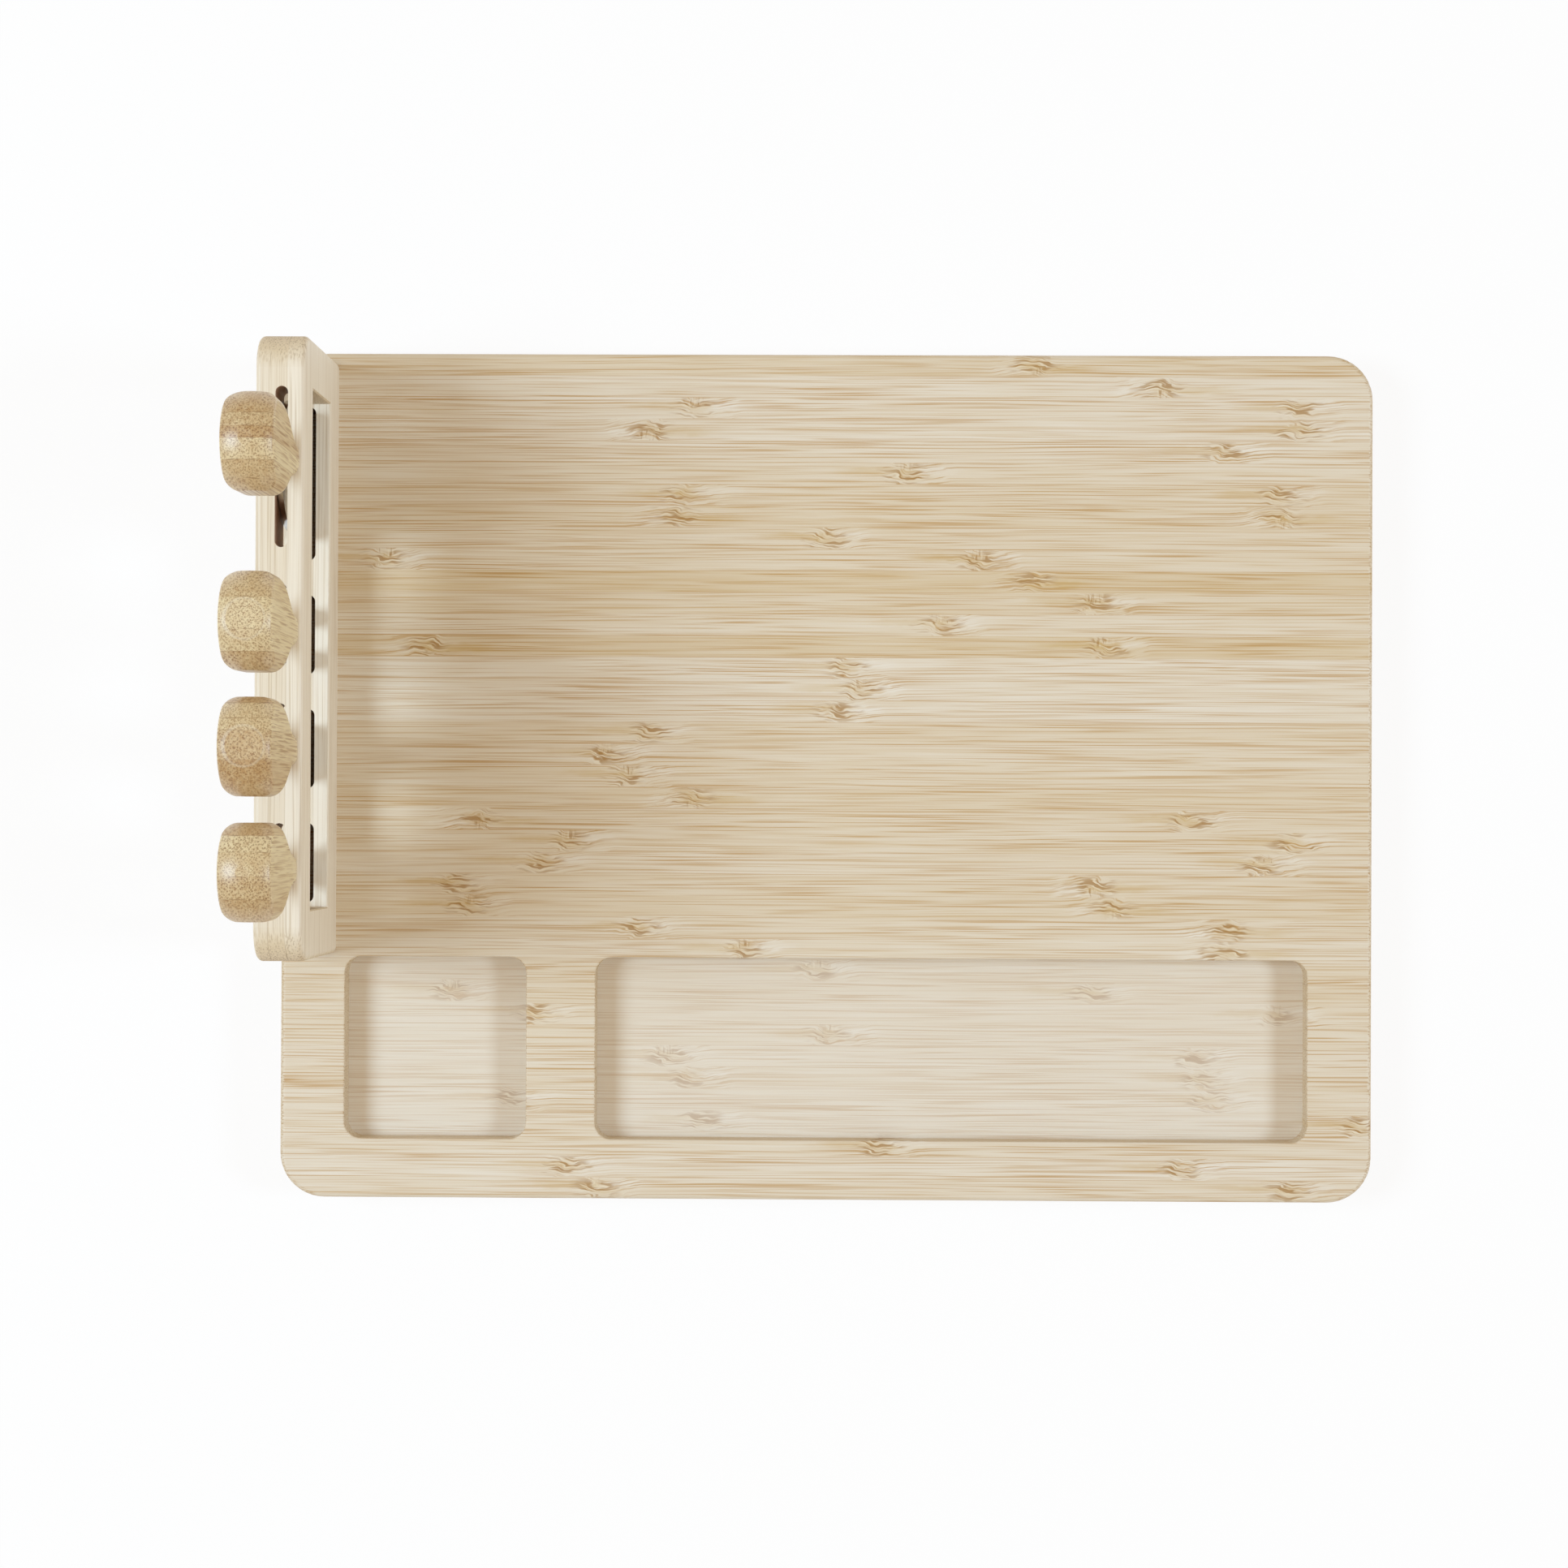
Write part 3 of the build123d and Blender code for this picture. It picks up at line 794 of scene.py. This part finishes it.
def cad_mesh(node: str, name: str, shape_up: Callable[[bmesh.types.BMesh], None] | None) -> bpy.types.Mesh:
    """Copies a CAD node's mesh, merges its loose triangles and keeps its smooth normals.

    Args:
        node: The CAD node's name.
        name: The new mesh's name.
        shape_up: What is done to the merged mesh, if anything.

    Returns:
        The new mesh.
    """
    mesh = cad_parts[node].data.copy()
    mesh.name = name
    mesh.materials.clear()
    kept = [c.vector.copy() for c in mesh.corner_normals]
    normal = mesh.attributes.new("kept_normal", "FLOAT_VECTOR", "CORNER")
    normal.data.foreach_set("vector", [v for n in kept for v in n])
    if "custom_normal" in mesh.attributes:
        mesh.attributes.remove(mesh.attributes["custom_normal"])
    shape = bmesh.new()
    shape.from_mesh(mesh)
    bmesh.ops.remove_doubles(shape, verts=shape.verts, dist=TOUCHING)
    if shape_up:
        shape_up(shape)
    shape.to_mesh(mesh)
    shape.free()
    for face in mesh.polygons:
        face.use_smooth = True
    flat = [0.0] * (3 * len(mesh.loops))
    mesh.attributes["kept_normal"].data.foreach_get("vector", flat)
    normals = [Vector(flat[i : i + 3]).normalized() for i in range(0, len(flat), 3)]
    mesh.attributes.remove(mesh.attributes["kept_normal"])
    mesh.normals_split_custom_set(normals)
    return mesh


@dataclass(frozen=True)
class Lamp:
    """A large round soft lamp that looks at the board; its power is in watts."""

    name: str
    place: Triple
    width: float
    power: float
    aim: Triple = (0.0, 0.0, 30.0)
    colour: str = "#CCE6FF"

    def build(self) -> None:
        """Hangs the lamp."""
        data = bpy.data.lights.new(self.name, "AREA")
        data.shape = "DISK"
        data.size = self.width * MM
        data.energy = self.power
        data.color = linear(self.colour)[:3]
        lamp = new_object(self.name, data)
        lamp.location = Vector(self.place) * MM
        way = (Vector(self.aim) - Vector(self.place)) * MM
        lamp.rotation_euler = way.to_track_quat("-Z", "Y").to_euler()


@dataclass
class Studio:
    """Plain soft studio: a pale floor, two large soft lamps, an even sky, and the camera over the board.

    The camera's turn is in radians. The sky's strengths are those below the horizon and overhead.
    """

    eye: Triple = (0.34, -11.56, 1003.6)
    turn: Triple = (0.00949, 0.01315, 0.0045)
    lens: float = 74.92
    sensor: float = 36.0
    lamps: tuple[Lamp, ...] = (
        Lamp("window_side", (-1500.0, 50.0, 1630.0), width=900.0, power=30.5),
        Lamp("room_side", (1900.0, -100.0, 1600.0), width=600.0, power=26.8),
    )
    sky_colour: str = "#FFE2B9"
    sky_heights: Pair = (-0.2, 1.0)
    sky_strengths: Pair = (0.36, 0.58)
    paper: str = "#F7F7F7"
    paper_glow: float = 0.88
    floor_side: float = 6000.0
    floor_gap: float = 0.1
    white: str = "#FFFFFF"

    def build(self) -> None:
        """Builds the camera, lamps, sky and floor."""
        self.camera()
        self.sky()
        for lamp in self.lamps:
            lamp.build()
        self.floor()
        bpy.context.scene.view_settings.view_transform = "Standard"

    def camera(self) -> None:
        """Sets the camera straight over the board, at the photograph's framing."""
        data = bpy.data.cameras.new("camera")
        data.lens = self.lens
        data.sensor_width = self.sensor
        data.clip_start = 10 * MM
        camera = new_object("camera", data)
        camera.location = Vector(self.eye) * MM
        camera.rotation_euler = self.turn
        bpy.context.scene.camera = camera

    def sky(self) -> None:
        """Makes an even pale sky, a little brighter overhead; the camera sees it white."""
        world = bpy.data.worlds.new("studio")
        world.use_nodes = True
        bpy.context.scene.world = world
        tree = world.node_tree
        tree.nodes.clear()
        way = add(tree, "ShaderNodeTexCoord").node.outputs["Generated"]
        height = add(tree, SEPARATE, {0: way}).node.outputs["Z"]
        least, most = self.sky_strengths
        rise = {"Value": height, **between(self.sky_heights), "To Min": least, "To Max": most}
        glow = {"Color": linear(self.sky_colour), "Strength": add(tree, RANGE, rise)}
        light = add(tree, "ShaderNodeBackground", glow)
        white = add(tree, "ShaderNodeBackground", {"Color": linear(self.white), "Strength": 1.0})
        path = add(tree, "ShaderNodeLightPath").node.outputs
        rays = {0: path["Is Camera Ray"], 1: path["Is Transmission Ray"]}
        seen = add(tree, MATH, rays, operation="MAXIMUM")
        mixed = add(tree, "ShaderNodeMixShader", {0: seen, 1: light, 2: white})
        add(tree, "ShaderNodeOutputWorld", {"Surface": mixed})

    def floor(self) -> None:
        """Lays the floor: white paper that keeps the object's soft shadow."""
        material, tree = new_material("white paper floor")
        paper = add(tree, "ShaderNodeBsdfDiffuse", {"Color": linear(self.paper)})
        glow = add(tree, "ShaderNodeEmission", {"Color": linear(self.white), "Strength": 1.0})
        path = add(tree, "ShaderNodeLightPath").node.outputs
        seen = path["Is Camera Ray"]
        for ray in ("Is Glossy Ray", "Is Transmission Ray"):
            seen = add(tree, MATH, {0: seen, 1: path[ray]}, operation="MAXIMUM")
        share = add(tree, MATH, {0: seen, 1: self.paper_glow}, operation="MULTIPLY")
        mixed = add(tree, "ShaderNodeMixShader", {0: share, 1: paper, 2: glow})
        add(tree, "ShaderNodeOutputMaterial", {"Surface": mixed})
        half = self.floor_side * MM / 2
        corners = [(-half, -half), (half, -half), (half, half), (-half, half)]
        mesh = bpy.data.meshes.new("floor")
        mesh.from_pydata([(x, y, -self.floor_gap * MM) for x, y in corners], [], [(0, 1, 2, 3)])
        mesh.materials.append(material)
        floor = new_object("floor", mesh)


@dataclass
class CheeseBoard:
    """The bamboo board: 39 strips along X, with a square and a long pocket cut into them.

    Each strip has its tone, in steps from pale to tan, and the places along it where its knuckles are.
    """

    width: float = 256.0
    strip_count: int = 39
    top: float = 16.0
    pocket_front: float = -110.5
    pocket_back: float = -54.5
    pocket_spans: tuple[Pair, ...] = ((-146.0, -90.0), (-70.0, 146.0))
    shallowest: float = 4.0
    palest: float = 0.2
    tone_step: float = 0.05
    least_knuckle: float = 0.8
    tones: tuple[int, ...] = (
        6, 2, 2, 2, 3, 4, 5, 6, 5, 5, 9, 6, 4, 8, 2, 2, 2, 5, 4, 5,
        6, 5, 5, 4, 5, 6, 4, 3, 5, 5, 4, 4, 3, 4, 3, 3, 3, 1, 3,
    )
    knuckles: tuple[tuple[int, ...], ...] = (
        (63,), (101,), (-40, 143), (-54, 143), (120,), (24,), (-43, 137), (-46, 137), (0,), (-134, 46),
        (62,), (81,), (34,), (-121, 84), (6,), (10,), (3,), (-54,), (-67,), (-60,),
        (-41,), (-105, 110), (-78, 141), (-87, 132), (-112, 81), (-108, 86), (-57, 121), (-25, 120), (-3,),
        (-114, 81), (-88, 137), (1,), (-48, 113), (-41, 115), (-96, 118), (-37, 161), (17,), (-78, 108),
        (-69, 140),
    )

    def build(self) -> None:
        """Builds and dresses the board."""
        # Wiping oil into sanded bamboo warms it and brings out its fibres, and leaves a soft, even sheen
        finish = Bamboo(
            "natural bamboo, sanded and oiled",
            Axis.X,
            Axis.Y,
            pale="#EBE4D6",
            tan="#CDAF76",
            fibre="#B98A44",
            dot="#A07840",
            routed="#E9E3D8",
            routed_share=0.38,
            knuckles=Knuckles(
                (
                    # The pale strokes: a painted highlight beside each dark stroke, and pale bud wood in
                    # the ticks
                    Stroke("#F0E4C8", shift=0.45, ticks=(0.43, 0.37), most=0.4, height=0.2),
                    Stroke("#A27432", shift=0.0, ticks=(0.57, 0.63), most=0.75, height=-0.4),
                )
            ),
            bundle=0.78,
            bundle_radius=0.16,
            line_strength=0.66,
            patch_strength=0.2,
            band_strength=0.05,
        ).build()
        step = self.width / self.strip_count
        joints = tuple(self.width / 2 - step * i for i in range(1, self.strip_count))
        tones = tuple(self.palest + tone * self.tone_step for tone in self.tones)
        marks = tuple(
            (index, float(along), self.knuckle_size(index, along))
            for index, places in enumerate(self.knuckles)
            for along in places
        )
        strips = Strips(Axis.Y, Axis.X, joints, tones, marks)
        WoodPiece(
            "board", "bamboo_board", "board_and_rack", "board_bamboo", strips, finish, self.in_pocket
        ).build()

    def knuckle_size(self, index: int, along: int) -> float:
        """Returns a knuckle's size, spread by its strip and place; a third of them are turned round."""
        size = self.least_knuckle + (index * 13 + along * 5) % 10 / 11
        return size if (index * 7 + along) % 3 else -size

    def in_pocket(self, middle: Vector, normal: Vector) -> bool:
        """Tells the floor of a pocket from the other faces.

        Args:
            middle: The face's middle in millimetres.
            normal: Its normal.

        Returns:
            Whether it is the floor of a pocket.
        """
        in_span = any(left < middle.x < right for left, right in self.pocket_spans)
        is_floor = middle.z < self.top - self.shallowest and normal.z > LEVEL
        return in_span and is_floor and self.pocket_front < middle.y < self.pocket_back


@dataclass
class KnifeRack:
    """The rack on the board's left edge: a bamboo frame with slots through its upper and lower rails."""

    slot_x: float = -154.6
    slot_half: float = 2.4
    slots_from: float = -42.0
    slots_to: float = 112.0
    lower_rail_top: float = 32.0
    upper_rail_foot: float = 66.5
    joints: Pair = (-153.2, -158.0)
    tones: Triple = (0.15, 0.5, 0.4)

    def build(self) -> None:
        """Builds and dresses the rack."""
        # Sanded and left pale, it is nearly matt, with faint lines; the slots' walls are coloured a darker
        # brown
        finish = Bamboo(
            "pale natural bamboo, sanded",
            Axis.Y,
            Axis.X,
            pale="#F4EAD7",
            tan="#E2D0B0",
            fibre="#BDA47E",
            dot="#8C6E46",
            routed="#A06E4C",
            routed_share=0.8,
            bundle_radius=0.2,
            line_strength=0.32,
            dot_strength=0.85,
            hair_strength=0.5,
            hair_tone=0.5,
            band_strength=0.04,
            patch_strength=0.12,
            # Its end faces are far more tan: the end grain's tone, and painted shade on the ends, which
            # face away from the lamps
            end_grain_and_shade_tone=1.1,
        ).build()
        strips = Strips(Axis.X, Axis.Y, self.joints, self.tones, first_seed=60)
        WoodPiece(
            "knife_rack", "bamboo_rack", "board_and_rack", "rack_bamboo", strips, finish, self.in_slot
        ).build()

    def in_slot(self, middle: Vector, normal: Vector) -> bool:
        """Tells the wall of a knife slot from the other faces.

        Args:
            middle: The face's middle in millimetres.
            normal: Its normal.

        Returns:
            Whether it is the wall of a slot.
        """
        in_rail = middle.z > self.upper_rail_foot or middle.z < self.lower_rail_top
        in_row = self.slots_from < middle.y < self.slots_to
        is_wall = abs(middle.x - self.slot_x) < self.slot_half and abs(normal.z) < LEVEL
        return is_wall and in_rail and in_row


@dataclass
class RackScrews:
    """The two countersunk screws that hold the rack from under the board, their heads down."""

    place: Triple = (-155.3, 117.65, 0.6)
    spacing: float = 164.5
    count: int = 2
    length: float = 30.0
    head_radius: float = 3.5
    head_rim: float = 0.4
    head_height: float = 1.9
    shank_radius: float = 1.75
    core_radius: float = 1.2
    point_radius: float = 0.05
    pitch: float = 1.5
    rings_per_turn: int = 6
    thread_foot: float = 9.0
    thread_gap: float = 0.01
    tip_length: float = 3.0
    drive_span: float = 3.8
    drive_width: float = 0.9
    drive_depth: float = 1.2
    drive_taper: float = 0.7
    sides: int = 32
    seed: int = 4

    def build(self) -> None:
        """Builds one screw, sets it out along the rack with Geometry Nodes, and dresses the result."""
        # Blue-passivated zinc is a cool grey with a satin gloss, faintly clouded by the bath
        finish = Steel("zinc-plated steel, blue passivated", "#B8BDC3", 0.34, (0.7, 0.7, 1.4), 0.12).build()
        one = bpy.data.objects.new("one_screw", self.screw())
        holder = new_object("screws_holder", bpy.data.meshes.new("screws_holder"))
        tree = self.spread(finish)
        modifier = holder.modifiers.new("screws", "NODES")
        modifier.node_group = tree
        values = {
            "Screw": one,
            "Count": self.count,
            "Start": tuple(v * MM for v in self.place),
            "Spacing": self.spacing * MM,
            "Seed": self.seed,
        }
        for item in tree.interface.items_tree:
            if item.name in values:
                modifier[item.identifier] = values[item.name]
        ready = holder.evaluated_get(bpy.context.evaluated_depsgraph_get())
        mesh = bpy.data.meshes.new_from_object(ready)
        holder.modifiers.clear()
        bpy.data.objects.remove(holder)
        bpy.data.objects.remove(one)
        mesh.name = "steel_screws"
        piece = new_object("steel_screws", mesh)
        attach(piece, "board_and_rack")
        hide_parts("rack_screws")
        LOG.info("steel_screws: %d faces", len(mesh.polygons))

    def spread(self, finish: bpy.types.Material) -> Tree:
        """Builds the node group that repeats the screw along Y, each turned at random about its axis.

        Args:
            finish: The screws' material.

        Returns:
            The node group.
        """
        tree = bpy.data.node_groups.new("screws along the rack", "GeometryNodeTree")
        kinds = {"Screw": "Object", "Count": "Int", "Start": "Vector", "Spacing": "Float", "Seed": "Int"}
        for name, kind in kinds.items():
            tree.interface.new_socket(name, in_out="INPUT", socket_type=f"NodeSocket{kind}")
        tree.interface.new_socket("Geometry", in_out="OUTPUT", socket_type="NodeSocketGeometry")
        given = add(tree, "NodeGroupInput").node.outputs
        step = add(tree, MATH, {0: given["Spacing"], 1: -1.0}, operation="MULTIPLY")
        step = add(tree, COMBINE, {"Y": step})
        row = {"Count": given["Count"], "Start Location": given["Start"], "Offset": step}
        line = add(tree, "GeometryNodeMeshLine", row)
        turns = {0: (0.0, 0.0, 0.0), 1: (0.0, 0.0, 2 * math.pi), "Seed": given["Seed"]}
        turn = add(tree, "FunctionNodeRandomValue", turns, data_type="FLOAT_VECTOR")
        screw = add(tree, "GeometryNodeObjectInfo", {"Object": given["Screw"]}).node.outputs["Geometry"]
        copies = {"Points": line, "Instance": screw, "Rotation": turn}
        many = add(tree, "GeometryNodeInstanceOnPoints", copies)
        solid = add(tree, "GeometryNodeRealizeInstances", {0: many})
        dressed = add(tree, "GeometryNodeSetMaterial", {"Geometry": solid, "Material": finish})
        add(tree, "NodeGroupOutput", {0: dressed})
        return tree

    def radius(self, height: float, turn: float) -> float:
        """Finds the screw's radius.

        Args:
            height: How far over its head's flat, in millimetres.
            turn: How far round its axis, as a share of a turn.

        Returns:
            The radius in millimetres.
        """
        cone = self.head_rim + self.head_height
        if height <= self.head_rim:
            return self.head_radius
        if height < cone:
            share = (height - self.head_rim) / self.head_height
            return self.head_radius + (self.shank_radius - self.head_radius) * share
        if height < self.thread_foot:
            return self.shank_radius
        ridge = (height / self.pitch - turn) % 1.0
        crest = self.core_radius + (self.shank_radius - self.core_radius) * (1 - abs(2 * ridge - 1))
        left = (self.length - height) / self.tip_length
        return max(self.point_radius, crest * min(1.0, left))

    def screw(self) -> bpy.types.Mesh:
        """Builds one screw standing on its head at the origin: a grid round its axis, and a cross recess.

        Returns:
            The screw's mesh.
        """
        shape = bmesh.new()
        smooth = [0.0, self.head_rim, self.head_rim + self.head_height, self.thread_foot - self.thread_gap]
        steps = round((self.length - self.thread_foot) / self.pitch * self.rings_per_turn)
        threads = [self.thread_foot + i * self.pitch / self.rings_per_turn for i in range(steps + 1)]
        rings = []
        for height in smooth + threads:
            ring = []
            for i in range(self.sides):
                angle = 2 * math.pi * i / self.sides
                radius = self.radius(height, i / self.sides)
                spot = Vector((radius * math.cos(angle), radius * math.sin(angle), height))
                ring.append(shape.verts.new(spot * MM))
            rings.append(ring)
        for low, high in zip(rings, rings[1:]):
            for i in range(self.sides):
                k = (i + 1) % self.sides
                shape.faces.new((low[i], low[k], high[k], high[i]))
        shape.faces.new(rings[-1])
        reach, half = self.drive_span / 2, self.drive_width / 2
        corners = [(reach, -half), (reach, half), (half, half)]
        quarters = ((1, 0), (0, 1), (-1, 0), (0, -1))
        outline = [(x * c - y * s, x * s + y * c) for c, s in quarters for x, y in corners]
        mouth, bed = (
            [shape.verts.new(Vector((x * share, y * share, height)) * MM) for x, y in outline]
            for share, height in ((1.0, 0.0), (self.drive_taper, self.drive_depth))
        )
        for i in range(len(mouth)):
            k = (i + 1) % len(mouth)
            shape.faces.new((mouth[i], mouth[k], bed[k], bed[i]))
        shape.faces.new(bed)
        loops = (rings[0], mouth)
        rim = [shape.edges.get(ends) for loop in loops for ends in zip(loop, loop[1:] + loop[:1])]
        bmesh.ops.triangle_fill(shape, use_beauty=True, use_dissolve=False, edges=rim)
        bmesh.ops.recalc_face_normals(shape, faces=shape.faces)
        mesh = bpy.data.meshes.new("one_screw")
        shape.to_mesh(mesh)
        shape.free()
        return mesh


@dataclass
class Knife:
    """One cheese knife: a lacquered bamboo handle, glued up of strips, and a stainless blade.

    The joints are measured from the knife's middle, and the flat on the handle's end is its radius.
    """

    kind: Blade
    body: str
    middle: float
    joints: Numbers
    tones: Numbers
    seed: int
    end_flat: float = -FAR
    axis_x: float = -155.5

    def build(self, handle_finish: bpy.types.Material, blade_finish: bpy.types.Material) -> None:
        """Builds and dresses the knife.

        Args:
            handle_finish: The handle's material.
            blade_finish: The blade's material.
        """
        joints = tuple(self.middle + j for j in self.joints)
        strips = Strips(Axis.Y, Axis.Z, joints, self.tones, first_seed=self.seed)
        kind = self.kind.value
        WoodPiece(
            f"{kind}_handle",
            f"bamboo_{kind}_handle",
            self.body,
            "handle_bamboo",
            strips,
            handle_finish,
            end_flat=(self.end_flat, self.middle, self.axis_x),
        ).build()
        mesh = cad_mesh(f"{kind}_blade", f"steel_{kind}_blade", None)
        mesh.materials.append(blade_finish)
        blade = new_object(mesh.name, mesh)
        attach(blade, self.body)
        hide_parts(f"{kind}_blade")
        LOG.info("%s: %d faces", blade.name, len(mesh.polygons))


@dataclass
class KnifeSet:
    """The four knives that stand in the rack."""

    knives: tuple[Knife, ...] = (
        Knife(
            Blade.CLEAVER,
            "cleaver",
            middle=88.8,
            joints=(6.8, 3.1, -0.2, -5.9, -10.6),
            tones=(0.45, 0.22, 0.5, 0.02, 0.32, 0.45),
            seed=100,
        ),
        Knife(
            Blade.FORK,
            "fork",
            middle=40.2,
            joints=(5.9, -2.8, -8.6),
            # The fork's strips are paler than the other handles': partly their own tone, partly painted
            # sheen of the lacquer
            tones=(0.22, -0.06, 0.04, 0.42),
            seed=110,
            end_flat=5.5,
        ),
        Knife(
            Blade.PLANE,
            "plane_knife",
            middle=6.2,
            joints=(11.7, 7.5, 4.2, -3.7),
            tones=(0.55, 0.15, 0.1, 0.32, 0.55),
            seed=120,
            end_flat=5.5,
        ),
        Knife(
            Blade.SPADE,
            "spade_knife",
            middle=-27.8,
            joints=(10.0, 5.5, -0.9, -7.2),
            tones=(0.5, -0.05, 0.1, 0.25, 0.45),
            seed=130,
        ),
    )

    def build(self) -> None:
        """Builds and dresses the knives."""
        # Clear lacquer over turned, sanded bamboo deepens its colours and gives it a soft satin gloss
        handle = Bamboo(
            "natural bamboo, turned and lacquered",
            Axis.Z,
            Axis.Y,
            pale="#EDDCB0",
            tan="#BC9664",
            fibre="#96621C",
            dot="#7A4E22",
            bundle=1.12,
            bundle_radius=0.25,
            scatter=0.4,
            faintest=0.7,
            line_width=1.1,
            line_strength=1.0,
            dot_strength=0.8,
            plain_share=0.45,
            band_strength=0.15,
            end_grain_and_shade_tone=0.4,
            # A pale ring round the end's flat, which is a painted highlight
            rim="#F0E6CC",
            roughness=0.42,
            coat=0.6,
            coat_roughness=0.36,
        ).build()
        # Polishing leaves the sheet bright, with fine lines down the blade where it was ground
        marks = (2.0, 0.35, 14.0)
        blade = Steel("stainless steel, ground and polished", "#CDCFD0", 0.2, marks, 0.15).build()
        for knife in self.knives:
            knife.build(handle, blade)


def main() -> None:
    """Builds the studio, then the object piece by piece."""
    logging.basicConfig(level=logging.INFO, format="%(name)s %(message)s")
    Studio().build()
    CheeseBoard().build()
    KnifeRack().build()
    RackScrews().build()
    KnifeSet().build()


if __name__ == "__main__":
    main()
